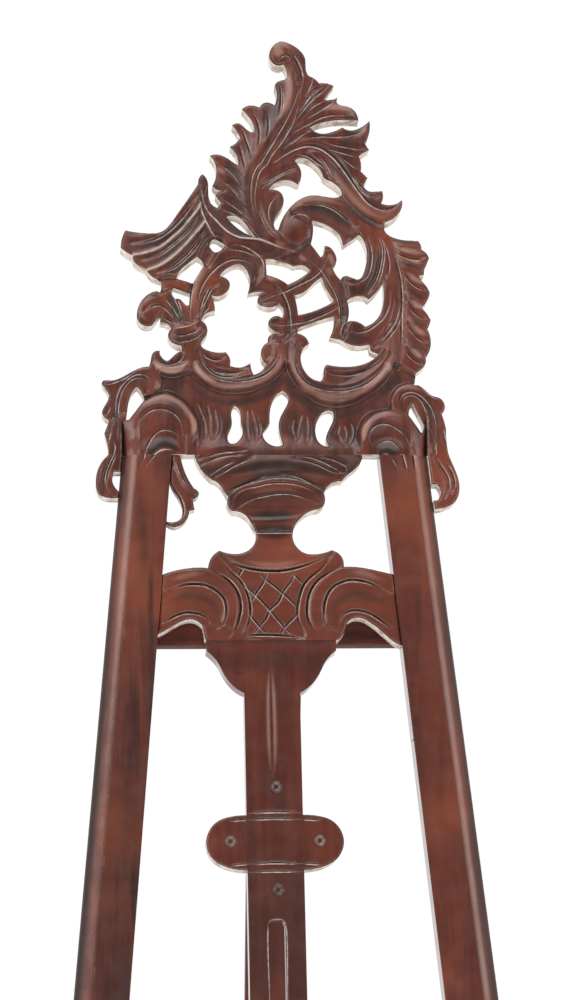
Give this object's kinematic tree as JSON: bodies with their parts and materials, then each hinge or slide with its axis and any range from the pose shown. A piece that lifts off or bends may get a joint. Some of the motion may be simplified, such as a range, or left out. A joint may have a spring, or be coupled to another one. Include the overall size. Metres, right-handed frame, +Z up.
{
  "type": "display easel",
  "caption": "Leaning A-frame display easel in carved mahogany with a pierced rococo crest, slotted mast, sliding picture tray and hinged rear leg.",
  "frame": {"origin": "floor, at the centre of the object's plan", "axes": "+Z up, front faces -Y, +X to the right as seen from the front"},
  "size_m": [0.6354, 0.6244, 1.8818],
  "materials": {
    "mahogany": "satin lacquer over a dark red-brown stain",
    "dowel_wood": "bare beech",
    "brass": "aged, dull",
    "steel": "plain"
  },
  "bodies": {
    "frame": {"crest_panel": "mahogany", "urn_splat": "mahogany", "lattice_rail": "mahogany", "lower_rail": "mahogany", "left_leg": "mahogany", "right_leg": "mahogany", "left_foot": "mahogany", "right_foot": "mahogany", "left_ear_drop": "mahogany", "right_ear_drop": "mahogany", "inner_tendril": "mahogany", "mast": "mahogany", "mast_shoulder_left": "mahogany", "mast_shoulder_right": "mahogany", "boss_ear_left": "mahogany", "boss_ear_right": "mahogany", "rear_rail": "mahogany", "hinge_leaf_fixed": "brass", "hinge_pin": "brass", "crest_dowels": "dowel_wood", "rail_dowels": "dowel_wood", "mast_dowels": "dowel_wood", "rail_screws": "steel", "hinge_screws_rail": "brass"},
    "rear_leg": {"rear_leg": "mahogany", "hinge_leaf_moving": "brass", "hinge_screws_leg": "brass"},
    "tray": {"tray_shelf": "mahogany", "tray_lip": "mahogany", "tray_back": "mahogany", "tray_tongue": "mahogany", "clamp_bolt": "brass", "clamp_plate": "mahogany", "clamp_washer": "brass", "tray_screws": "steel"},
    "wing_nut": {"wing_nut": "brass"}
  },
  "joints": [
    {"name": "rear_leg_hinge", "type": "hinge", "parent": "frame", "child": "rear_leg", "pos_m": [0, -0.00003, 1.24736], "axis": [1, 0, 0], "range_deg": [-25, 0]},
    {"name": "tray_slide", "type": "slide", "parent": "frame", "child": "tray", "axis": [0, 0.2079, 0.9781], "range_m": [-0.119, 0.341]},
    {"name": "wing_nut_turn", "type": "hinge", "parent": "tray", "child": "wing_nut", "pos_m": [-0.0085, -0.14416, 0.59813], "axis": [0, 0.9781, -0.2079], "range_deg": [0, 360]}
  ]
}
